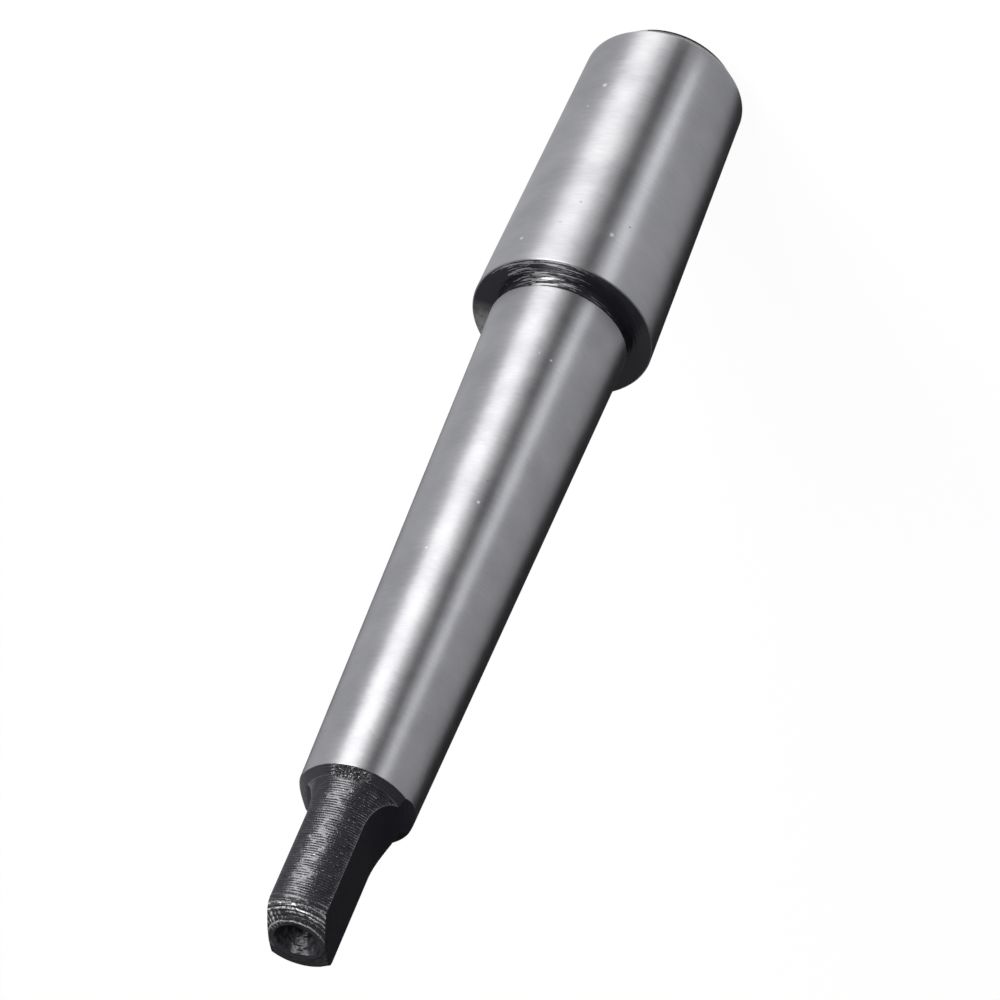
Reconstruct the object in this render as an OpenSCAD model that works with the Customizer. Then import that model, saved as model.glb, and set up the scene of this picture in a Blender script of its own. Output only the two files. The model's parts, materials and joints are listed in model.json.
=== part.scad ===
// Drill chuck arbor, turned from one bar. It stands on its chuck end, with the tang at the top.
// Lengths are in millimetres. The axis is Z, the chuck end's face is at z = 0,
// and the flats of the tang face along X.

/* [Chuck end] */
// Diameter at the gauge plane of the short taper that carries the drill chuck
nose_gauge_d = 15.733; // [14:0.001:18]
// Change of diameter per millimetre of length on the short taper
nose_taper = 0.04995; // [0.03:0.00001:0.07]
// Length from the gauge plane to the chuck end's face
nose_gauge_len = 25.4; // [18:0.1:32]
// Length of the short taper between the gauge plane and the shoulder
nose_excess = 6; // [2:0.1:10]
// Length along the axis of the chamfer on the chuck end
nose_chamfer_len = 1.65; // [0.2:0.05:3]
// Depth across the axis of the chamfer on the chuck end
nose_chamfer_depth = 1.2; // [0.2:0.05:2]

/* [Shoulder] */
// Size of the broken edge round the shoulder
shoulder_edge = 0.12; // [0.05:0.01:0.5]
// Width of the undercut between the shoulder and the shank
relief_width = 1.2; // [0.6:0.05:3]
// Depth of the undercut below the end of the shank
relief_depth = 0.3; // [0.1:0.05:1]

/* [Shank] */
// Diameter at the gauge plane of the size 1 self-holding taper
shank_gauge_d = 12.065; // [11.5:0.001:13]
// Change of diameter per millimetre of length on the shank
shank_taper = 0.04988; // [0.04:0.00001:0.06]
// Length from the gauge plane to the small end of the shank
shank_gauge_len = 48.5; // [35:0.1:55]
// Length of the shank between the gauge plane and the undercut
shank_excess = 4; // [1:0.1:8]
// Size of the broken edge at the large end of the shank
shank_edge = 0.12; // [0.05:0.01:0.4]

/* [Tang] */
// Length of the tang beyond the small end of the shank
tang_len = 13.9; // [11.5:0.1:18]
// Diameter that the tang is turned to
tang_d = 8.2; // [7.6:0.1:9]
// Length along the axis of the cone where the tang leaves the shank
tang_neck_len = 0.5; // [0.2:0.05:1.5]
// Thickness of the tang across its two flats
tang_thick = 4.7; // [4:0.1:5.4]
// Length of the full depth of the flats, from the tang's end
flat_len = 9.5; // [7:0.1:10.5]
// Radius of the milling cutter that leaves each flat's runout
flat_runout_r = 6; // [4:0.1:10]
// Radius of the tang's rounded end corner
tang_corner_r = 0.9; // [0.3:0.05:1.2]
// Angle of the bevel between the rounded corner and the end face, in degrees
tang_bevel_angle = 16; // [5:1:35]
// Diameter of the flat end face of the tang, before the flats are cut
tang_face_d = 4.6; // [4.2:0.1:5.5]

/* [Centre holes] */
// Full angle of both centre holes' cones, in degrees
centre_angle = 60; // [60:15:90]
// Mouth diameter of the centre hole in the chuck end
nose_centre_d = 5; // [3:0.1:7]
// Pilot diameter of the centre hole in the chuck end
nose_pilot_d = 2; // [1:0.1:2.5]
// Depth of the centre hole in the chuck end
nose_centre_depth = 5; // [4:0.1:8]
// Mouth diameter of the centre hole in the tang
tang_centre_d = 3.6; // [2:0.1:4.2]
// Pilot diameter of the centre hole in the tang
tang_pilot_d = 1.2; // [0.6:0.1:1.6]
// Depth of the centre hole in the tang
tang_centre_depth = 3.5; // [2.5:0.1:6]

/* [Hidden] */

// Facets round the axis, and along the rounded corner of the tang
$fn = 180;
corner_steps = 8;
// How far a cut runs past the face that it opens through
cut_over = 1;

// Heights along the axis, from the chuck end up
nose_len = nose_gauge_len + nose_excess;
shank_base_z = nose_len + relief_width;
shank_gauge_z = shank_base_z + shank_excess;
shank_tip_z = shank_gauge_z + shank_gauge_len;
tang_end_z = shank_tip_z + tang_len;

// Radii of the two tapers at any height
function nose_r(z) = (nose_gauge_d + nose_taper * (z - nose_gauge_len)) / 2;
function shank_r(z) = (shank_gauge_d - shank_taper * (z - shank_gauge_z)) / 2;

relief_r = shank_r(shank_base_z) - relief_depth;
tang_r = tang_d / 2;

// The rounded corner turns from the tang's side to the bevel, and the bevel meets the end face
corner_turn = 90 - tang_bevel_angle;
corner_end_r = tang_r - tang_corner_r * (1 - cos(corner_turn));
face_r = min(tang_face_d / 2, corner_end_r);
corner_end_z = tang_end_z - (corner_end_r - face_r) * tan(tang_bevel_angle);
corner_z = corner_end_z - tang_corner_r * sin(corner_turn);

// Points of the rounded corner, from the tang's side to the bevel
corner_points = [
    for (i = [0 : corner_steps])
        let (turn = corner_turn * i / corner_steps)
        [
            tang_r - tang_corner_r * (1 - cos(turn)),
            corner_z + tang_corner_r * sin(turn)
        ]
];

// Half of the turned outline, as radius and height, from the chuck end up
turned_outline = concat(
    [
        [0, 0],
        [nose_r(0) - nose_chamfer_depth, 0],
        [nose_r(nose_chamfer_len), nose_chamfer_len],
        [nose_r(nose_len - shoulder_edge), nose_len - shoulder_edge],
        [nose_r(nose_len) - shoulder_edge, nose_len],
        [relief_r, nose_len],
        [relief_r, shank_base_z],
        [shank_r(shank_base_z) - shank_edge, shank_base_z],
        [shank_r(shank_base_z + shank_edge), shank_base_z + shank_edge],
        [shank_r(shank_tip_z), shank_tip_z],
        [tang_r, shank_tip_z + tang_neck_len]
    ],
    corner_points,
    [
        [face_r, tang_end_z],
        [0, tang_end_z]
    ]
);

// The bar as it leaves the lathe
module turned_body() {
    rotate_extrude() polygon(turned_outline);
}

// What the milling cutter takes off the side of the tang that faces +X
module flat_cut() {
    cutter_z = tang_end_z - flat_len;
    reach = 2 * shank_r(shank_tip_z);
    translate([tang_thick / 2 + flat_runout_r, 0, cutter_z])
        rotate([90, 0, 0])
        cylinder(r = flat_runout_r, h = 2 * reach, center = true);
    translate([tang_thick / 2, -reach, cutter_z])
        cube([2 * flat_runout_r, 2 * reach, flat_len + cut_over]);
}

// A centre hole with its mouth at z = 0, running up along +Z
module centre_hole(mouth_d, pilot_d, depth) {
    slope = tan(centre_angle / 2);
    cone_len = (mouth_d - pilot_d) / 2 / slope;
    translate([0, 0, -cut_over])
        cylinder(d1 = mouth_d + 2 * cut_over * slope, d2 = pilot_d, h = cone_len + cut_over);
    translate([0, 0, cone_len - cut_over])
        cylinder(d = pilot_d, h = depth - cone_len + cut_over);
}

// The whole arbor
module arbor() {
    color("silver")
    difference() {
        turned_body();
        flat_cut();
        mirror([1, 0, 0]) flat_cut();
        centre_hole(nose_centre_d, nose_pilot_d, nose_centre_depth);
        translate([0, 0, tang_end_z])
            mirror([0, 0, 1])
            centre_hole(tang_centre_d, tang_pilot_d, tang_centre_depth);
    }
}

arbor();
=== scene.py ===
"""A drill chuck arbor: ground tapers, a black tang and a black shoulder, on a pale floor."""

import json
import math

import bpy
from mathutils import Matrix, Vector


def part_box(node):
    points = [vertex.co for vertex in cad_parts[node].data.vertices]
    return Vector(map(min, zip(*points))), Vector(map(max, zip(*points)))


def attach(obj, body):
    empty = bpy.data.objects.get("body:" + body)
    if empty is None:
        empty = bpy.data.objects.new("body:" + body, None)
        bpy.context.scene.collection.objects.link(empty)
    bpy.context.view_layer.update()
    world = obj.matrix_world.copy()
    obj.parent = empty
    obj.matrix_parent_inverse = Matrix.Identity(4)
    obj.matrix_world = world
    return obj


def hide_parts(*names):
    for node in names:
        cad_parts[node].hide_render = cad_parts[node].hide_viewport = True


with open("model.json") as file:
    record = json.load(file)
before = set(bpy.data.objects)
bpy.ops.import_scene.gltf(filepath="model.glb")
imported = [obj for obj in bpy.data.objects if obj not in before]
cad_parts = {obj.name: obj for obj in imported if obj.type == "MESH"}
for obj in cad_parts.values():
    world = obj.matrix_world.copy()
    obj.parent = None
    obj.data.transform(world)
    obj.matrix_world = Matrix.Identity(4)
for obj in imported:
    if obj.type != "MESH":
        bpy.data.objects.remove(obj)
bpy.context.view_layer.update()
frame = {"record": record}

MM = 0.001

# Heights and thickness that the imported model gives, in millimetres
MOUNTS = {mount["name"]: mount for mount in frame["record"]["mounts"]}
TOTAL_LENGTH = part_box("arbor")[1].z / MM
NOSE_GAUGE_Z = MOUNTS["chuck_taper"]["pos_m"][2] / MM
SHANK_GAUGE_Z = MOUNTS["shank_taper"]["pos_m"][2] / MM
HALF_TANG = MOUNTS["tang_flat_front"]["pos_m"][0] / MM

# Sizes of the turned outline, in millimetres. A taper is the change of diameter for each millimetre
NOSE_GAUGE_D = 15.733
NOSE_TAPER = 0.04995
NOSE_EXCESS = 6.0
NOSE_CHAMFER = (1.2, 1.65)
RELIEF_WIDTH = 1.2
RELIEF_DEPTH = 0.3
SHANK_GAUGE_D = 12.065
SHANK_TAPER = 0.04988
TANG_LENGTH = 13.9
TANG_R = 4.1
NECK_LENGTH = 0.5
FLAT_LENGTH = 9.5
CUTTER_R = 6.0
CORNER_R = 0.9
BEVEL_ANGLE = math.radians(16)
TANG_FACE_R = 2.3
CENTRE_SLOPE = math.tan(math.radians(30))
NOSE_CENTRE = {"mouth": 2.5, "pilot": 1.0, "depth": 5.0}
TANG_CENTRE = {"mouth": 1.8, "pilot": 0.6, "depth": 3.5}

# Radii of the small edge roundings, in millimetres
NOSE_FACE_EDGE = 0.1
NOSE_CHAMFER_EDGE = 0.15
SHOULDER_EDGE = 0.12
SHANK_TIP_EDGE = 0.08
FLAT_EDGE = 0.06
TANG_HOLE_EDGE = 0.05

# Derived heights. Nothing of the flats is left on the shank below the runout height
SHOULDER_Z = NOSE_GAUGE_Z + NOSE_EXCESS
SHANK_BASE_Z = SHOULDER_Z + RELIEF_WIDTH
SHANK_TIP_Z = TOTAL_LENGTH - TANG_LENGTH
CUTTER_Z = TOTAL_LENGTH - FLAT_LENGTH
RUNOUT_Z = SHANK_TIP_Z - 1

# How the surface is divided into rings along the bar, with lengths in millimetres
HOLD = 0.02
RINGS_PER_MARK = 6
ARC_DETAIL = 1.5

# How it is divided round the bar. Columns that gather at a flat spread out again over these lengths,
# and edges that bend more than the crisp angle stay sharp
COLUMNS = 160
LEAST_TURN = math.radians(2)
EVEN_TURN = math.radians(45)
GATHERING = 1.5
SPREAD_ALONG = 20
SPREAD_ACROSS = 0.8
CRISP_ANGLE = math.radians(24)

# Turning marks, in millimetres: spacing along the outline, and depth
SMOOTH = (1.0, 0.0)
TANG_MARKS = (0.237, 0.131)
NECK_MARKS = (0.25, 0.02)
BEVEL_MARKS = (0.43, 0.12)
SHOULDER_MARKS = (0.32, 0.008)
RELIEF_MARKS = (0.3, 0.04)

# Profile of a mark over its spacing: a gentle and then a steep way down, and a short way back up
GENTLE_SLOPE = 0.826
STEEP_SLOPE = 2.164
STEEP_FROM = 0.198
BACK_SHARE = 0.34

# How far marks wander, as a share of their spacing, and how their depth varies and starts at a flat
MARK_WANDER = 0.8
MARK_TEARS = 1.7
USUAL_DEPTH = 0.92
LEAST_DEPTH = 0.6
MOST_DEPTH = 1.4
DEPTH_AT_FLAT = 0.15
DEPTH_RISE = 3

# Noise that bends and tears the marks: how fine it is in a millimetre, and its shift from mark to mark
WANDERS_PER_MM = 0.5
TEARS_PER_MM = 1.5
TEAR_SHIFT = 7.3

# Small numbers that keep divisions and comparisons safe. The last two are in metres
TINY = 0.0001
SMALL = 0.001
THIN = 1e-6
MERGE_WITHIN = 1e-7

# Rings on the tang's end painted bright as glints: radius in millimetres, turn in degrees, and the
# cosine of the angle from there at which they have faded
TANG_END_GLINT_ARCS = [(3.84, 95, 0.1), (3.49, 95, 0.1), (2.31, 95, 0.1), (3.15, 70, 0.8), (2.8, 66, 0.8)]

# Small nicks and specks on the ground surfaces: turn in degrees, height and size in millimetres.
# A nick has faded at this many sizes from its middle
BRIGHT_NICKS = [(114.6, 8.8, 0.24), (104.5, 10.1, 0.07), (120.7, 11.4, 0.11), (123.7, 28.4, 0.17),
                (67.6, 26.5, 0.22), (79.7, 56.8, 0.16), (106.3, 62.4, 0.1), (82.0, 40.0, 0.07),
                (70.6, 40.3, 0.12)]
DARK_NICKS = [(93.8, 24.0, 0.12), (101.0, 26.7, 0.1), (59.2, 24.7, 0.14), (79.3, 54.4, 0.1)]
NICK_EDGE = 1.2

# Which way each painted glint and painted reflection on the black finish faces, as a turn in degrees
LIT_SHOULDER_TURN = 103
REFLECTION_PATCH_TURN = 215
SCRAPE_GLINT_TURN = 141
ROUGH_FOOT_TURN = 91
GLINTING_TURN = 70

# Scrapes painted bright as glints across the tang's end: the direction that crosses them, and how many
# there are in a millimetre
SCRAPE_CROSS = (0.85, 0.53)
SCRAPES_PER_MM = 2.4

# How far the painted glint rings on the tang's end stray, and where their edges fade, in millimetres
ARC_WANDER = 0.35
ARC_EDGE = (0.08, 0.03)

# Colours of the ground steel and its nicks
STEEL_DARK = (0.35, 0.353, 0.38, 1)
STEEL_LIGHT = (0.51, 0.513, 0.54, 1)
BRIGHT_NICK = (0.8, 0.8, 0.8, 1)
DARK_NICK = (0.08, 0.08, 0.09, 1)

# Colours of the black finish on turned and milled places, of its gloss, and of the bright metal painted
# on it as glints and reflections
TURNED_DARK = (0.01, 0.01, 0.015, 1)
TURNED_LIGHT = (0.018, 0.018, 0.024, 1)
MILLED_DARK = (0.019, 0.0185, 0.029, 1)
MILLED_LIGHT = (0.03, 0.0295, 0.042, 1)
FINISH_GLOSS = (0.93, 0.93, 1.0, 1)
PAINTED_GLINT_METAL = (0.78, 0.78, 0.8, 1)

# Roughness of each finish where it is smoothest
GROUND_ROUGHNESS = 0.4
TURNED_ROUGHNESS = 0.18
MILLED_ROUGHNESS = 0.28

# Heights of the relief that is too fine for the mesh, in millimetres
GRINDING_RELIEF = 0.018
NICK_RELIEF = 0.01
TORN_RELIEF = 0.006
SPECK_RELIEF = 0.02
STREAK_RELIEF = 0.2
FOOT_RELIEF = 0.6
TANG_END_RELIEF = 0.2
HOLE_RELIEF = 0.4
MILLING_RELIEF = 0.003


def nose_r(z):
    """Radius of the short taper at a height."""
    return (NOSE_GAUGE_D + NOSE_TAPER * (z - NOSE_GAUGE_Z)) / 2


def shank_r(z):
    """Radius of the shank at a height."""
    return (SHANK_GAUGE_D - SHANK_TAPER * (z - SHANK_GAUGE_Z)) / 2


def ground_r(z):
    """Radius of the ground surface at a height."""
    return nose_r(z) if z < SHOULDER_Z else shank_r(z)


class Wire:
    """An output socket of a node tree. Arithmetic on wires adds Math nodes to the tree."""

    def __init__(self, tree, socket):
        self.tree = tree
        self.socket = socket

    @classmethod
    def node(cls, tree, kind, settings=(), sockets=(), output=0):
        """Adds any node: its settings first, then its sockets, by name or number. Gives one output."""
        made = tree.nodes.new(kind)
        for name, value in dict(settings).items():
            setattr(made, name, value)
        for name, value in dict(sockets).items():
            if isinstance(value, Wire):
                tree.links.new(value.socket, made.inputs[name])
            else:
                made.inputs[name].default_value = value
        return cls(tree, made.outputs[output])

    def out(self, name):
        """Another output of the same node."""
        return Wire(self.tree, self.socket.node.outputs[name])

    def math(self, operation, *others):
        """One Math node on this wire and the others, which may be numbers."""
        values = dict(enumerate((self, *others)))
        return Wire.node(self.tree, "ShaderNodeMath", {"operation": operation}, values)

    def __add__(self, other):
        return self.math("ADD", other)

    def __radd__(self, other):
        return self.math("ADD", other)

    def __sub__(self, other):
        return self.math("SUBTRACT", other)

    def __rsub__(self, other):
        return self.math("MULTIPLY", -1.0).math("ADD", other)

    def __mul__(self, other):
        return self.math("MULTIPLY", other)

    def __rmul__(self, other):
        return self.math("MULTIPLY", other)

    def __truediv__(self, other):
        return self.math("DIVIDE", other)

    def __pow__(self, other):
        return self.math("POWER", other)


def vector(tree, x, y, z):
    """A vector made of three wires or numbers."""
    return Wire.node(tree, "ShaderNodeCombineXYZ", sockets={"X": x, "Y": y, "Z": z})


def grey_noise(tree, place, scale, detail=2.0, roughness=0.5):
    """Noise from 0 to 1 at a place."""
    sockets = {"Vector": place, "Scale": scale, "Detail": detail, "Roughness": roughness}
    return Wire.node(tree, "ShaderNodeTexNoise", sockets=sockets)


class Outline:
    """The turned outline, gathered corner by corner from the chuck end's centre hole to the tang's."""

    def __init__(self, start):
        self.corners = [{"at": Vector(start), "rounding": 0.0}]
        self.stretches = []
        self.rings = []

    def to(self, point, black, marks=SMOOTH, steps=1, rounding=0.0, edge=(False, SMOOTH)):
        """A straight stretch to a corner, and how far that corner is rounded."""
        self.stretches.append({"black": black, "marks": marks, "steps": steps})
        self.corners.append({"at": Vector(point), "rounding": rounding, "edge": edge})

    def add(self, point, facing, depth, turn, black):
        """One ring, with the depth of its marks and the number of marks up to it."""
        ring = {
            "radius": point.x,
            "height": point.y,
            "facing": facing,
            "mark_depth": depth,
            "mark_turn": turn,
            "black": black,
            "least_turn": least_turn(point.x, point.y),
        }
        self.rings.append(ring)

    def trim(self, k):
        """How much a corner's rounding takes off the two stretches that meet there."""
        corner = self.corners[k]
        if not corner["rounding"]:
            return 0.0
        before = corner["at"] - self.corners[k - 1]["at"]
        after = self.corners[k + 1]["at"] - corner["at"]
        return corner["rounding"] * math.tan(before.angle(after) / 2)

    def line(self, start, end, stretch):
        """Rings of a straight stretch. Rings close to both ends hold its corners crisp."""
        run = end - start
        length = run.length
        facing = Vector((run.y, -run.x)).normalized()
        spacing, depth = stretch["marks"]
        steps = stretch["steps"]
        if depth:
            steps = max(2, round(length / spacing * RINGS_PER_MARK))
        hold = min(HOLD, length / 4)
        inner = [length * k / steps for k in range(1, steps)]
        inner = [place for place in inner if hold * 2 < place < length - hold * 2]
        for place in [0.0, hold] + inner + [length - hold, length]:
            fade = min(1.0, 2 * place / spacing, 2 * (length - place) / spacing)
            point = start + run * (place / length)
            self.add(point, facing, depth * fade, place / spacing, stretch["black"])

    def arc(self, k):
        """Rings of a rounded corner."""
        corner = self.corners[k]
        black, (spacing, depth) = corner["edge"]
        before = (corner["at"] - self.corners[k - 1]["at"]).normalized()
        after = (self.corners[k + 1]["at"] - corner["at"]).normalized()
        first = math.atan2(-before.x, before.y)
        last = math.atan2(-after.x, after.y)
        radius = corner["rounding"]
        start = corner["at"] - before * self.trim(k)
        centre = start - radius * Vector((math.cos(first), math.sin(first)))
        swing = radius * (last - first)
        steps = max(4, round(swing / spacing * RINGS_PER_MARK * ARC_DETAIL))
        for step in range(1, steps):
            angle = first + (last - first) * step / steps
            facing = Vector((math.cos(angle), math.sin(angle)))
            turn = swing * step / steps / spacing
            self.add(centre + radius * facing, facing, depth, turn, black)

    def finish(self):
        """Works out every ring, in order."""
        for k, stretch in enumerate(self.stretches):
            first, last = self.corners[k]["at"], self.corners[k + 1]["at"]
            way = (last - first).normalized()
            first = first + way * self.trim(k)
            last = last - way * (self.trim(k + 1) if k + 2 < len(self.corners) else 0.0)
            self.line(first, last, stretch)
            if self.corners[k + 1]["rounding"]:
                self.arc(k + 1)
        return self.rings


def least_turn(radius, height):
    """The smallest angle kept for the columns of a flat, so that they spread out again beyond it."""
    if height < SHANK_TIP_Z:
        spread = (RUNOUT_Z - height) / SPREAD_ALONG
    elif height > CUTTER_Z:
        spread = (HALF_TANG - radius) / SPREAD_ACROSS
    else:
        spread = 0.0
    return LEAST_TURN + (EVEN_TURN - LEAST_TURN) * min(1.0, max(0.0, spread))


def bar_outline():
    """Every ring of the arbor, from the bottom of one centre hole to the bottom of the other."""
    top = TOTAL_LENGTH
    hole = NOSE_CENTRE
    cone = (hole["mouth"] - hole["pilot"]) / CENTRE_SLOPE
    bar = Outline((0, hole["depth"]))
    bar.to((hole["pilot"], hole["depth"]), False)
    bar.to((hole["pilot"], cone), False)
    bar.to((hole["mouth"], 0), False, steps=3)

    # Short taper for the chuck, with a chamfer at its end
    depth, length = NOSE_CHAMFER
    bar.to((nose_r(0) - depth, 0), False, steps=5, rounding=NOSE_FACE_EDGE)
    bar.to((nose_r(length), length), True, steps=2, rounding=NOSE_CHAMFER_EDGE)
    bar.to((nose_r(SHOULDER_Z), SHOULDER_Z), False, steps=12, rounding=SHOULDER_EDGE)

    # Shoulder and undercut
    relief_r = shank_r(SHANK_BASE_Z) - RELIEF_DEPTH
    bar.to((relief_r, SHOULDER_Z), True, SHOULDER_MARKS)
    bar.to((relief_r, SHANK_BASE_Z), True, RELIEF_MARKS)
    bar.to((shank_r(SHANK_BASE_Z), SHANK_BASE_Z), True, rounding=SHOULDER_EDGE)

    # Shank, with more rings where the flats run out into it
    bar.to((shank_r(RUNOUT_Z), RUNOUT_Z), False, steps=24)
    bar.to((shank_r(SHANK_TIP_Z), SHANK_TIP_Z), False, steps=14, rounding=SHANK_TIP_EDGE)

    # Tang, with a rounded corner and a bevel at its end
    bevel_rise = math.tan(BEVEL_ANGLE)
    corner_z = top - (TANG_R - TANG_FACE_R) * bevel_rise
    bar.to((TANG_R, SHANK_TIP_Z + NECK_LENGTH), True, NECK_MARKS)
    bar.to((TANG_R, corner_z), True, TANG_MARKS, rounding=CORNER_R, edge=(True, BEVEL_MARKS))
    bar.to((TANG_FACE_R, top), True, BEVEL_MARKS)

    hole = TANG_CENTRE
    cone = (hole["mouth"] - hole["pilot"]) / CENTRE_SLOPE
    bar.to((hole["mouth"], top), True, steps=3, rounding=TANG_HOLE_EDGE, edge=(True, SMOOTH))
    bar.to((hole["pilot"], top - cone), True, steps=6)
    bar.to((hole["pilot"], top - hole["depth"]), True)
    bar.to((0, top - hole["depth"]), True)
    return bar.finish()


def ring_points(rings):
    """A mesh of loose points, one a ring, that carries the outline into the node tree."""
    mesh = bpy.data.meshes.new("outline")
    points = [(ring["radius"] * MM, 0, ring["height"] * MM) for ring in rings]
    mesh.from_pydata(points, [], [])
    facing = mesh.attributes.new("facing", "FLOAT_VECTOR", "POINT")
    for k, ring in enumerate(rings):
        facing.data[k].vector = (ring["facing"].x, 0, ring["facing"].y)
    for name, scale in (("mark_depth", MM), ("mark_turn", 1), ("black", 1), ("least_turn", 1)):
        values = mesh.attributes.new(name, "FLOAT", "POINT")
        values.data.foreach_set("value", [ring[name] * scale for ring in rings])
    return mesh


def add_inputs(tree, inputs):
    """Names the tree's inputs and gives back a wire for each."""
    for name, kind in inputs:
        tree.interface.new_socket(name, in_out="INPUT", socket_type=kind)
    tree.interface.new_socket("Geometry", in_out="OUTPUT", socket_type="NodeSocketGeometry")
    group = tree.nodes.new("NodeGroupInput")
    return {name: Wire(tree, group.outputs[name]) for name, _ in inputs}


def named_value(tree, name, kind="FLOAT"):
    """A stored attribute of the geometry."""
    return Wire.node(tree, "GeometryNodeInputNamedAttribute", {"data_type": kind}, {"Name": name})


def from_ring(tree, outline, ring, value, kind="FLOAT"):
    """A value of one ring of the outline."""
    settings = {"data_type": kind, "domain": "POINT"}
    sockets = {"Geometry": outline, "Value": value, "Index": ring}
    return Wire.node(tree, "GeometryNodeSampleIndex", settings, sockets)


def groove_shape(phase):
    """Share of a mark's depth at a place from 0 to 1 in its spacing."""
    falling = (phase * GENTLE_SLOPE).math("MAXIMUM", (phase - STEEP_FROM) * STEEP_SLOPE)
    return falling.math("MINIMUM", (1 - phase) / BACK_SHARE)


def depth_share(torn, even, milled):
    """Two shares of a mark's depth: one uneven along its turn, one that is small beside the flats."""
    uneven = (USUAL_DEPTH + (torn - 0.5) * MARK_TEARS).math("MAXIMUM", LEAST_DEPTH)
    uneven = uneven.math("MINIMUM", MOST_DEPTH)
    from_edge = (DEPTH_AT_FLAT + even.math("ABSOLUTE") * DEPTH_RISE).math("MINIMUM", 1.0)
    return uneven, from_edge.math("MAXIMUM", 1 - milled)


def stored(tree, geometry, kind, name, value):
    """Geometry with one more attribute on its points."""
    return Wire.node(tree, "GeometryNodeStoreNamedAttribute", {"data_type": kind, "domain": "POINT"},
                     {"Geometry": geometry, "Name": name, "Value": value})


def closed_and_smooth(tree, geometry):
    """Joins the seam and the poles, turns the faces outwards and shades gentle edges smooth."""
    closed = Wire.node(tree, "GeometryNodeMergeByDistance",
                       sockets={"Geometry": geometry, "Distance": MERGE_WITHIN})
    outward = Wire.node(tree, "GeometryNodeFlipFaces", sockets={"Mesh": closed})
    gentle = Wire.node(tree, "GeometryNodeInputMeshEdgeAngle").math("LESS_THAN", CRISP_ANGLE)
    smooth = Wire.node(tree, "GeometryNodeSetShadeSmooth", {"domain": "FACE"}, {"Geometry": outward})
    return Wire.node(tree, "GeometryNodeSetShadeSmooth", {"domain": "EDGE"},
                     {"Geometry": smooth, "Shade Smooth": gentle})


def covered(tree, geometry, material, where):
    """Geometry with a material on it, all over or where an attribute says."""
    sockets = {"Geometry": geometry, "Material": material}
    if where:
        sockets["Selection"] = named_value(tree, where, "BOOLEAN")
    return Wire.node(tree, "GeometryNodeSetMaterial", sockets=sockets)


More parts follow.
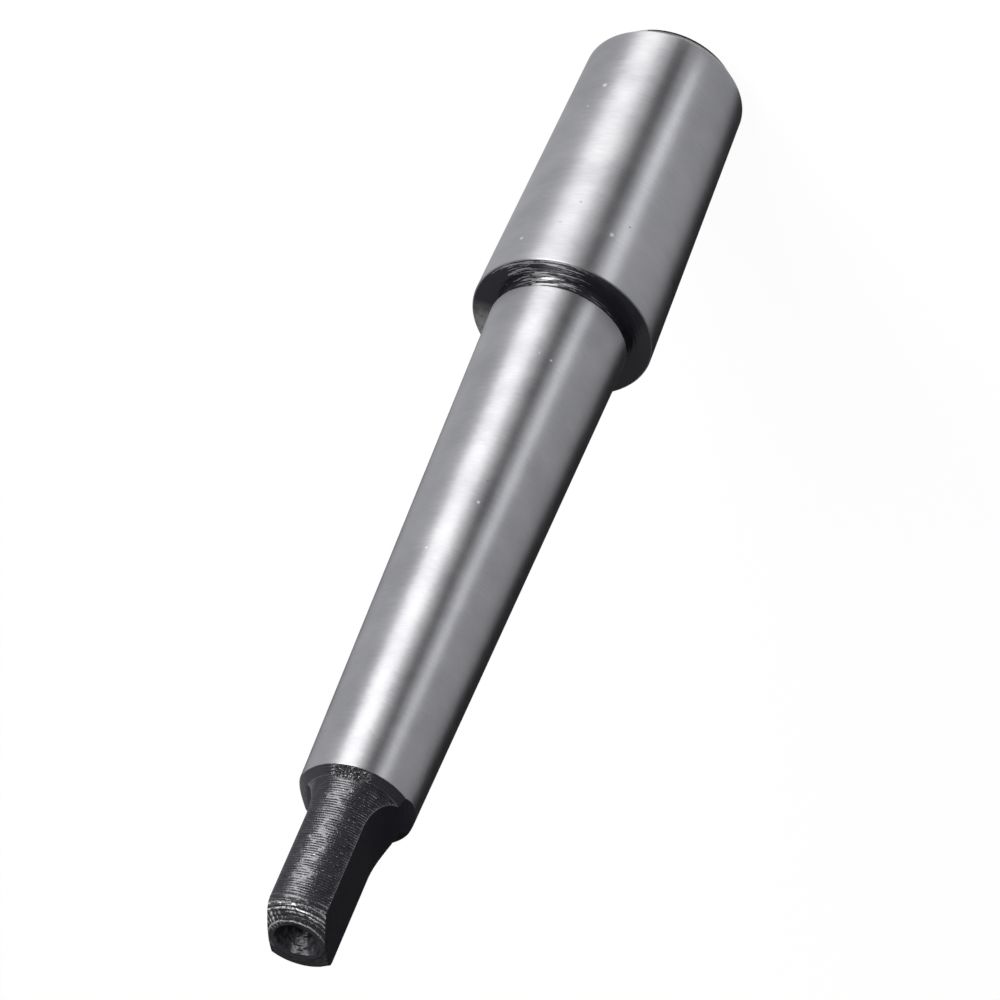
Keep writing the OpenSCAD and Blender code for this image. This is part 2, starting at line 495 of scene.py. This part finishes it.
def lathe_tree():
    """Node tree that turns an outline into a bar, cuts its marks and mills its two flats."""
    tree = bpy.data.node_groups.new("turned and milled bar", "GeometryNodeTree")
    given = add_inputs(tree, [
        ("Outline", "NodeSocketGeometry"),
        ("Columns", "NodeSocketInt"),
        ("Half thickness", "NodeSocketFloat"),
        ("Cutter radius", "NodeSocketFloat"),
        ("Cutter height", "NodeSocketFloat"),
        ("Edge rounding", "NodeSocketFloat"),
        ("Ground steel", "NodeSocketMaterial"),
        ("Turned black", "NodeSocketMaterial"),
        ("Milled black", "NodeSocketMaterial"),
    ])
    outline = given["Outline"]

    # A grid with one row of points for each ring
    count = Wire.node(tree, "GeometryNodeAttributeDomainSize", {"component": "MESH"},
                      {"Geometry": outline})
    across = given["Columns"] + 1
    grid = Wire.node(tree, "GeometryNodeMeshGrid", sockets={"Vertices X": count, "Vertices Y": across})
    index = Wire.node(tree, "GeometryNodeInputIndex")
    ring = (index / across + TINY).math("FLOOR")
    column = index - ring * across

    def ring_value(name):
        return from_ring(tree, outline, ring, named_value(tree, name))

    position = Wire.node(tree, "GeometryNodeInputPosition")
    place = from_ring(tree, outline, ring, position, "FLOAT_VECTOR")
    place = Wire.node(tree, "ShaderNodeSeparateXYZ", sockets={"Vector": place})
    facing = named_value(tree, "facing", "FLOAT_VECTOR")
    facing = from_ring(tree, outline, ring, facing, "FLOAT_VECTOR")
    facing = Wire.node(tree, "ShaderNodeSeparateXYZ", sockets={"Vector": facing})
    radius = place.out("X")
    height = place.out("Z")

    # Depth of the flats at this height, and the angle at which they meet the round
    half = given["Half thickness"]
    cutter = given["Cutter radius"]
    into_runout = (given["Cutter height"] - height).math("MAXIMUM", 0.0).math("MINIMUM", cutter)
    flat_at = half + cutter - (cutter * cutter - into_runout * into_runout).math("SQRT")
    share = (flat_at / radius.math("MAXIMUM", THIN)).math("MINIMUM", 1.0)
    corner = share.math("ARCCOSINE")
    milled = corner.math("GREATER_THAN", TINY)
    held = corner.math("MAXIMUM", ring_value("least_turn"))

    # Columns gather where the flats meet the round
    quarter = math.pi / 2
    turn = column / given["Columns"] * (2 * math.pi)
    signed = turn.math("WRAP", quarter, -quarter)
    even = signed.math("ABSOLUTE") / EVEN_TURN - 1
    reach = held + (even.math("GREATER_THAN", 0.0)) * (quarter - 2 * held)
    from_flat = held + even.math("SIGN") * even.math("ABSOLUTE") ** GATHERING * reach
    angle = turn - signed + signed.math("SIGN") * from_flat

    # Turning marks, each torn in its own way
    round_x = radius / MM * angle.math("COSINE")
    round_y = radius / MM * angle.math("SINE")
    broad = grey_noise(tree, vector(tree, round_x, round_y, height / MM), WANDERS_PER_MM, 2.0)
    turns = ring_value("mark_turn") + (broad - 0.5) * MARK_WANDER
    mark = turns.math("FLOOR") * TEAR_SHIFT
    tear = vector(tree, round_x * TEARS_PER_MM, round_y * TEARS_PER_MM, mark)
    torn = grey_noise(tree, tear, 1.0, 3.0, 0.65)
    groove = groove_shape(turns.math("FRACT"))
    uneven, from_edge = depth_share(torn, even, milled)
    cut = ring_value("mark_depth") * groove * uneven * from_edge

    # The round surface and the flat meet in a small rounding
    round_r = radius - facing.out("X") * cut
    milled_r = flat_at / from_flat.math("COSINE").math("MAXIMUM", SMALL)
    final_r = round_r.math("SMOOTH_MIN", milled_r, given["Edge rounding"])
    final_z = height - facing.out("Z") * cut
    spot = vector(tree, final_r * angle.math("COSINE"), final_r * angle.math("SINE"), final_z)
    bar = Wire.node(tree, "GeometryNodeSetPosition", sockets={"Geometry": grid, "Position": spot})

    # Where each finish goes, and where the crests of the marks are
    on_flat = even.math("LESS_THAN", SMALL) * milled
    black = (ring_value("black") + on_flat).math("GREATER_THAN", 0.5)
    crest = (1 - groove) * ring_value("mark_depth").math("GREATER_THAN", THIN)
    bar = stored(tree, bar, "BOOLEAN", "black finish", black)
    bar = stored(tree, bar, "BOOLEAN", "milled", on_flat)
    bar = stored(tree, bar, "FLOAT", "crest", crest * (1 - on_flat))
    bar = closed_and_smooth(tree, bar)
    bar = Wire.node(tree, "GeometryNodeRealizeInstances", sockets={"Geometry": bar})
    bar = covered(tree, bar, given["Ground steel"], None)
    bar = covered(tree, bar, given["Turned black"], "black finish")
    bar = covered(tree, bar, given["Milled black"], "milled")
    group = tree.nodes.new("NodeGroupOutput")
    tree.links.new(bar.socket, group.inputs["Geometry"])
    return tree


def baked(name, mesh, tree, values):
    """Runs a node tree on a mesh once and gives the result as a plain object."""
    carrier = bpy.data.objects.new(name + "_carrier", mesh)
    bpy.context.scene.collection.objects.link(carrier)
    modifier = carrier.modifiers.new("nodes", "NODES")
    modifier.node_group = tree
    identifiers = {item.name: item.identifier for item in tree.interface.items_tree
                   if item.in_out == "INPUT"}
    for label, value in values.items():
        modifier[identifiers[label]] = value
    bpy.context.view_layer.update()
    seen = carrier.evaluated_get(bpy.context.evaluated_depsgraph_get())
    plain = bpy.data.meshes.new_from_object(seen)
    carrier.modifiers.clear()
    bpy.data.objects.remove(carrier)
    plain.name = name
    made = bpy.data.objects.new(name, plain)
    bpy.context.scene.collection.objects.link(made)
    return made


def shader(name):
    """A new material with one Principled shader, and the tree that holds it."""
    material = bpy.data.materials.new(name)
    material.use_nodes = True
    tree = material.node_tree
    return material, tree, tree.nodes["Principled BSDF"]


def set_finish(tree, principled, plain, varied):
    """Plain values go on the shader's own sockets, and wires into the ones that vary."""
    for name, value in plain.items():
        principled.inputs[name].default_value = value
    for name, wire in varied.items():
        tree.links.new(wire.socket, principled.inputs[name])


def mix_colour(tree, share, first, second):
    """Blends two colours."""
    settings = {"data_type": "RGBA"}
    sockets = {"Factor": share, 6: first, 7: second}
    return Wire.node(tree, "ShaderNodeMix", settings, sockets, output=2)


def surface_place(tree):
    """The place on the surface in millimetres: x, y, z and the distance from the axis."""
    place = Wire.node(tree, "ShaderNodeTexCoord", output="Object")
    parts = Wire.node(tree, "ShaderNodeSeparateXYZ", sockets={"Vector": place})
    x, y, z = (parts.out(axis) / MM for axis in "XYZ")
    radius = (x * x + y * y).math("SQRT").math("MAXIMUM", 0.01)
    return x, y, z, radius


def bump(tree, height):
    """Turns a height in millimetres into a normal."""
    sockets = {"Height": height, "Strength": 1.0, "Distance": MM}
    return Wire.node(tree, "ShaderNodeBump", sockets=sockets)


def ramp(wire, low, high):
    """Runs from 0 at the first value to 1 at the second."""
    sockets = {"Value": wire, "From Min": low, "From Max": high}
    return Wire.node(wire.tree, "ShaderNodeMapRange", sockets=sockets)


def towards(spot, turn, low, high):
    """A mask for the side that faces one way. Low and high are cosines of the angle off it."""
    x, y, _, radius = spot
    turn = math.radians(turn)
    return ramp((x * math.cos(turn) + y * math.sin(turn)) / radius, low, high)


def nick_mask(tree, place, nicks):
    """A mask that is 1 in the middle of each nick and 0 away from them."""
    mask = None
    for turn, height, size in nicks:
        radius = ground_r(height)
        middle = (radius * math.cos(math.radians(turn)), radius * math.sin(math.radians(turn)), height)
        apart = Wire.node(tree, "ShaderNodeVectorMath", {"operation": "DISTANCE"},
                          {0: place, 1: middle}, output="Value")
        nick = (NICK_EDGE - apart / size).math("MINIMUM", 1.0)
        mask = nick if mask is None else mask.math("MAXIMUM", nick)
    return mask.math("MAXIMUM", 0.0)


def ground_steel():
    """Bright steel with fine grinding lines round the axis, and small nicks."""
    material, tree, principled = shader("ground_steel")
    x, y, z, radius = surface_place(tree)
    place = vector(tree, x, y, z)

    # Lines are long round the axis and close together along it
    lines = vector(tree, x / radius * 5, y / radius * 5, z * 7)
    fine = grey_noise(tree, lines, 1.0, 3.0, 0.65)
    broad = grey_noise(tree, vector(tree, x / radius * 1.5, y / radius * 1.5, z * 0.3), 1.0, 2.0)
    bright = nick_mask(tree, place, BRIGHT_NICKS)
    dark = nick_mask(tree, place, DARK_NICKS)
    grain = ramp(fine, 0.25, 0.75) * 0.5 + ramp(broad, 0.3, 0.7) * 0.5
    tone = mix_colour(tree, grain, STEEL_DARK, STEEL_LIGHT)
    tone = mix_colour(tree, dark * 0.6, tone, DARK_NICK)
    tone = mix_colour(tree, bright * 0.75, tone, BRIGHT_NICK)
    rough = GROUND_ROUGHNESS + 0.1 * fine + 0.06 * broad
    metal = 1 - bright * 0.55
    normal = bump(tree, fine * GRINDING_RELIEF - bright * NICK_RELIEF)
    set_finish(tree, principled, {"Anisotropic": 0.9, "Anisotropic Rotation": 0.25},
               {"Base Color": tone, "Metallic": metal, "Roughness": rough, "Normal": normal})
    return material


def painted_shoulder_light(tree, spot, patchy):
    """A reflection painted as bright metal at the shoulder's left, and streaks on its lit side, torn in
    relief and painted bright as glints.
    """
    x, y, z, radius = spot
    shoulder = ramp(z, SHANK_BASE_Z + 0.3, SHANK_BASE_Z + 0.1)
    shoulder = shoulder * ramp(z, SHOULDER_Z - 1, SHOULDER_Z - 0.5)
    lit_side = towards(spot, LIT_SHOULDER_TURN, 0.6, 1.0)
    # Painted reflection: the shoulder's left side is coloured as bright metal where it mirrors the pale
    # floor
    painted_reflection = shoulder * towards(spot, REFLECTION_PATCH_TURN, 0.7, 1.0) ** 1.5 * (patchy * 1.6 - 0.2)
    rings = vector(tree, x / radius * 2.2, y / radius * 2.2, (radius - z) * 6)
    rings = grey_noise(tree, rings, 1.0, 4.0, 0.7)
    # Painted glints: streaks on the side toward the lamp are coloured as bright metal, and also raised
    # in relief
    glint_streaks = shoulder * ramp(rings + 0.27 * lit_side, 0.77, 0.79)
    return painted_reflection, glint_streaks


def tang_end_glints_and_relief(tree, spot, torn, specks):
    """Scrapes and rings painted bright as glints on the tang's end, and its uneven height."""
    x, y, z, radius = spot
    end = ramp(z, TOTAL_LENGTH - 1.1, TOTAL_LENGTH - 0.8) * ramp(radius, 1.9, 2.1)
    cross_x, cross_y = SCRAPE_CROSS
    across, along = x * cross_x + y * cross_y, x * cross_y - y * cross_x
    bend = grey_noise(tree, vector(tree, across, along * 0.3, 0.0), 1.0, 2.0, 0.6)
    stripe = (across * SCRAPES_PER_MM + bend * SCRAPES_PER_MM).math("FRACT")
    stripe = (stripe - 0.5).math("ABSOLUTE")
    # Painted glints: scrapes coloured bright only on the side toward the lamp
    scrape_glints = ramp(stripe, 0.32, 0.4) * towards(spot, SCRAPE_GLINT_TURN, 0.88, 0.98)
    scrape_glints = scrape_glints * ramp(radius, 3.45, 3.25)
    marks = scrape_glints * 0.9
    # Painted glints: rings coloured bright, each only near its own turn
    for arc_r, turn, reach in TANG_END_GLINT_ARCS:
        apart = (radius + (torn - 0.5) * ARC_WANDER - arc_r).math("ABSOLUTE")
        near = towards(spot, turn, reach, 0.5 + reach / 2)
        marks = marks.math("MAXIMUM", ramp(apart, *ARC_EDGE) * near)
    marks = marks * end * ramp(specks, 0.38, 0.5)
    return marks, end * (bend - 0.5) * TANG_END_RELIEF


def hole_smudges(tree, spot):
    """A mask for the tang's centre hole, and its uneven height."""
    x, y, z, radius = spot
    hole = ramp(radius, 2.0, 1.8) * ramp(z, SHANK_TIP_Z, SHANK_TIP_Z + 1)
    smudge = grey_noise(tree, vector(tree, x + 0.4, y, z * 1.6), 1.1, 2.0, 0.5)
    return hole, hole * (smudge - 0.5) * HOLE_RELIEF


def rough_foot(spot):
    """A mask for the rough lit side of the tang's foot, where it meets the shank."""
    z = spot[2]
    foot = ramp(z, SHANK_TIP_Z + 0.9, SHANK_TIP_Z + 0.5)
    foot = foot * ramp(z, SHANK_TIP_Z - 0.3, SHANK_TIP_Z - 0.1)
    return foot * towards(spot, ROUGH_FOOT_TURN, 0.91, 0.99)


def turned_black():
    """Thin black finish over rough turning, with glints painted as bright metal in specks along the
    crests on the lit side, and on other lit places.
    """
    material, tree, principled = shader("turned_black")
    spot = surface_place(tree)
    x, y, z, _ = spot
    patchy = grey_noise(tree, vector(tree, x, y, z), 1.2, 4.0, 0.6)
    torn = grey_noise(tree, vector(tree, x * 3, y * 3, z * 6), 1.0, 3.0, 0.65)
    specks = grey_noise(tree, vector(tree, x * 7, y * 7, z * 5), 1.0, 2.0, 0.6)
    crest = Wire.node(tree, "ShaderNodeAttribute", {"attribute_name": "crest"}, output="Fac")

    painted_reflection, glint_streaks = painted_shoulder_light(tree, spot, patchy)
    end_glints, uneven_end = tang_end_glints_and_relief(tree, spot, torn, specks)
    hole, uneven_hole = hole_smudges(tree, spot)
    foot = rough_foot(spot)
    glinting = towards(spot, GLINTING_TURN, 0.5, 0.95) * ramp(z, SHANK_TIP_Z, SHANK_TIP_Z + 1)
    # Painted glints: specks along the crests on the lit side are coloured and shaded as bright metal
    glint_paint = ramp(crest * specks, 0.56, 0.66) * glinting * 0.8
    # Painted glints: specks on the lit side of the foot
    glint_paint = glint_paint.math("MAXIMUM", foot * ramp(specks, 0.57, 0.65))
    glint_paint = glint_paint.math("MAXIMUM", end_glints).math("MAXIMUM", painted_reflection).math("MAXIMUM", glint_streaks)

    tone = mix_colour(tree, patchy, TURNED_DARK, TURNED_LIGHT)
    # The painted glints and reflections blend the black finish into bright metal
    tone = mix_colour(tree, glint_paint, tone, PAINTED_GLINT_METAL)
    rough = TURNED_ROUGHNESS + 0.1 * patchy + hole * 0.2 + glint_paint * 0.25
    grainy = torn * TORN_RELIEF + glinting * specks * SPECK_RELIEF
    uneven_foot = foot * (torn - 0.5) * FOOT_RELIEF
    relief = grainy + glint_streaks * STREAK_RELIEF + uneven_foot + (uneven_end + uneven_hole)
    normal = bump(tree, relief)
    set_finish(tree, principled, {"IOR": 1.68, "Specular Tint": FINISH_GLOSS},
               {"Base Color": tone, "Metallic": glint_paint, "Roughness": rough, "Normal": normal})
    return material


def milled_black():
    """Thin black finish over the smooth milled flats."""
    material, tree, principled = shader("milled_black")
    x, y, z, _ = surface_place(tree)
    patchy = grey_noise(tree, vector(tree, x, y, z), 0.8, 3.0, 0.6)
    sweep = grey_noise(tree, vector(tree, x, y * 0.4, z * 5), 1.0, 2.0)
    tone = mix_colour(tree, patchy, MILLED_DARK, MILLED_LIGHT)
    rough = MILLED_ROUGHNESS + 0.12 * patchy
    normal = bump(tree, sweep * MILLING_RELIEF)
    set_finish(tree, principled, {"IOR": 1.6, "Specular Tint": FINISH_GLOSS},
               {"Base Color": tone, "Roughness": rough, "Normal": normal})
    return material


def add_arbor():
    """The whole arbor as one detailed mesh, standing for the CAD node."""
    mesh = ring_points(bar_outline())
    arbor = baked("arbor_finished", mesh, lathe_tree(), {
        "Columns": COLUMNS,
        "Half thickness": HALF_TANG * MM,
        "Cutter radius": CUTTER_R * MM,
        "Cutter height": CUTTER_Z * MM,
        "Edge rounding": FLAT_EDGE * MM,
        "Ground steel": ground_steel(),
        "Turned black": turned_black(),
        "Milled black": milled_black(),
    })
    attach(arbor, "root")
    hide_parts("arbor")


# The camera looks at a point near the middle of the axis. Angles are in degrees
CAMERA_AIM = Vector((0.92, -0.28, 51.28)) * MM
CAMERA_DISTANCE = 430.64 * MM
CAMERA_AZIMUTH = 73.365
CAMERA_ELEVATION = 38.827
CAMERA_ROLL = 156.684
CAMERA_LENS = 188.23
CAMERA_SENSOR = 36

# The studio, in metres
FLOOR_HALF = 3.0
FLOOR_WHITENESS = 0.9
LAMP_AIM = Vector((0, 0, 0.05))
WORLD_LIGHT = 0.21
WHITE = (1, 1, 1, 1)
PALE_GREY = (0.85, 0.85, 0.85, 1)
CARD_BLACK = (0.02, 0.02, 0.02, 1)

# Cards that glow, and how brightly: a wall, a ring round the foot and a strip for the second light
GLOWING_CARDS = (("pale_wall", 0.5), ("foot_ring", 0.75), ("bright_strip", 3.25))
CARD_HEIGHT = 0.5 * MM
CARD_REACH = 0.6
CARD_STEPS = 16


def direction(azimuth, elevation):
    """Unit vector towards an azimuth and elevation in degrees."""
    turn, lift = math.radians(azimuth), math.radians(elevation)
    return Vector((math.cos(turn) * math.cos(lift), math.sin(turn) * math.cos(lift), math.sin(lift)))


def aimed(place, target, roll=0.0):
    """Matrix for a camera or lamp at a place that looks at a target, turned about its own view."""
    back = (place - target).normalized()
    right = Vector((0, 0, 1)).cross(back).normalized()
    up = back.cross(right)
    turn = Matrix.Rotation(math.radians(roll), 3, back)
    axes = Matrix((turn @ right, turn @ up, back)).transposed()
    return Matrix.Translation(place) @ axes.to_4x4()


def add_camera():
    """The camera, rolled so that the standing arbor lies in the frame as in the photograph."""
    lens = bpy.data.cameras.new("camera")
    lens.sensor_width = CAMERA_SENSOR
    lens.lens = CAMERA_LENS
    camera = bpy.data.objects.new("camera", lens)
    place = CAMERA_AIM + CAMERA_DISTANCE * direction(CAMERA_AZIMUTH, CAMERA_ELEVATION)
    camera.matrix_world = aimed(place, CAMERA_AIM, -CAMERA_ROLL)
    bpy.context.scene.collection.objects.link(camera)
    bpy.context.scene.camera = camera


def softbox(name, azimuth, elevation, distance, width, height, radiance, colour):
    """A rectangular lamp that faces the middle of the arbor."""
    lamp = bpy.data.lights.new(name, "AREA")
    lamp.shape = "RECTANGLE"
    lamp.size = width
    lamp.size_y = height
    lamp.energy = radiance * math.pi * width * height
    lamp.color = colour
    body = bpy.data.objects.new(name, lamp)
    body.matrix_world = aimed(LAMP_AIM + distance * direction(azimuth, elevation), LAMP_AIM)
    body.visible_camera = False
    bpy.context.scene.collection.objects.link(body)


def floor_material():
    """Pale floor that shows white to the camera and in reflections, and keeps a soft shadow."""
    material, tree, principled = shader("floor")
    set_finish(tree, principled, {"Base Color": PALE_GREY, "Roughness": 1.0}, {})
    path = Wire.node(tree, "ShaderNodeLightPath")
    seen = path.out("Is Camera Ray") + path.out("Is Glossy Ray") + path.out("Is Transmission Ray")
    strength = 1 + 0.06 * path.out("Is Camera Ray")
    white = Wire.node(tree, "ShaderNodeEmission", sockets={"Color": WHITE, "Strength": strength})
    lit = Wire(tree, principled.outputs[0])
    share = seen.math("MINIMUM", FLOOR_WHITENESS)
    mix = Wire.node(tree, "ShaderNodeMixShader", sockets={0: share, 1: lit, 2: white})
    tree.links.new(mix.socket, tree.nodes["Material Output"].inputs["Surface"])
    return material


def glowing(name, strength):
    """A material that only gives out light."""
    material, tree, _ = shader(name)
    light = Wire.node(tree, "ShaderNodeEmission", sockets={"Color": WHITE, "Strength": strength})
    tree.links.new(light.socket, tree.nodes["Material Output"].inputs["Surface"])
    return material


def black_card():
    """A material for the cards that keep light off the reflections."""
    material, tree, principled = shader("black_card")
    set_finish(tree, principled, {"Base Color": CARD_BLACK, "Roughness": 1.0}, {})
    return material


def staged(name, points, faces, material):
    """A plain mesh that isn't part of the arbor."""
    mesh = bpy.data.meshes.new(name)
    mesh.from_pydata(points, [], faces)
    mesh.materials.append(material)
    made = bpy.data.objects.new(name, mesh)
    bpy.context.scene.collection.objects.link(made)
    return made


def screen(name, material, azimuths, near, far, from_bar=False):
    """A strip between two azimuths and two edges, each a distance and a height.

    The distances start at the axis, or at the place on the bar that mirrors each azimuth to the camera.
    Only reflections see the strip.
    """
    first, last = azimuths
    points = []
    for k in range(CARD_STEPS + 1):
        azimuth = first + (last - first) * k / CARD_STEPS
        start = Vector((0, 0, 0))
        if from_bar:
            start = direction((azimuth + CAMERA_AZIMUTH) / 2, 0) * nose_r(0) * MM
        for distance, height in (near, far):
            points.append(start + direction(azimuth, 0) * distance + Vector((0, 0, height)))
    faces = [(2 * k, 2 * k + 1, 2 * k + 3, 2 * k + 2) for k in range(CARD_STEPS)]
    strip = staged(name, points, faces, material)
    strip.visible_camera = False
    strip.visible_diffuse = False
    strip.visible_shadow = False


def add_floor():
    """A large square to stand on."""
    half = FLOOR_HALF
    corners = [(-half, -half, 0), (half, -half, 0), (half, half, 0), (-half, half, 0)]
    staged("floor", corners, [(0, 1, 2, 3)], floor_material())


def add_dark_cards():
    """Black cards near the foot, and flags farther off, that darken parts of the reflections."""
    dark = black_card()
    low = CARD_HEIGHT
    reach = (CARD_REACH, low)
    screen("card_front", dark, (64.6, 83.4), (1.5 * MM, low), reach, from_bar=True)
    screen("card_right", dark, (-150, -30.5), (0.3 * MM, low), reach, from_bar=True)
    screen("card_edge", dark, (-20, 108), (6 * MM, 0.1 * low), (6.3 * MM, 0.1 * low))
    screen("flag_right", dark, (-112, -22), (CARD_REACH, 0), (CARD_REACH, 0.35))
    screen("flag_low", dark, (-22, 76), (CARD_REACH, 0), (CARD_REACH, 0.1))


def add_lights():
    """One soft lamp, and the cards that glow in the reflections."""
    softbox("key", azimuth=114.8, elevation=20, distance=0.9, width=0.53, height=0.65,
            radiance=8.8, colour=(1.0, 0.985, 0.95))
    low = CARD_HEIGHT
    wall, foot, glow = (glowing(name, strength) for name, strength in GLOWING_CARDS)
    screen("wall_left", wall, (134, 228), (0.7, 0), (0.7, 1.0))
    screen("card_foot", foot, (-180, 180), (8.6 * MM, 0.6 * low), (19 * MM, 0.6 * low))
    screen("card_fill", glow, (41.5, 53), (6 * MM, 2 * low), (0.45, 2 * low), from_bar=True)


def add_world():
    """White to the camera, and a weak even light for the rest."""
    world = bpy.data.worlds.new("studio")
    bpy.context.scene.world = world
    world.use_nodes = True
    tree = world.node_tree
    back = tree.nodes["Background"]
    path = Wire.node(tree, "ShaderNodeLightPath")
    strength = WORLD_LIGHT + (1 - WORLD_LIGHT) * path.out("Is Camera Ray")
    tree.links.new(strength.socket, back.inputs["Strength"])
    back.inputs["Color"].default_value = WHITE


bpy.context.scene.view_settings.view_transform = "Standard"
add_camera()
add_floor()
add_dark_cards()
add_lights()
add_world()
add_arbor()
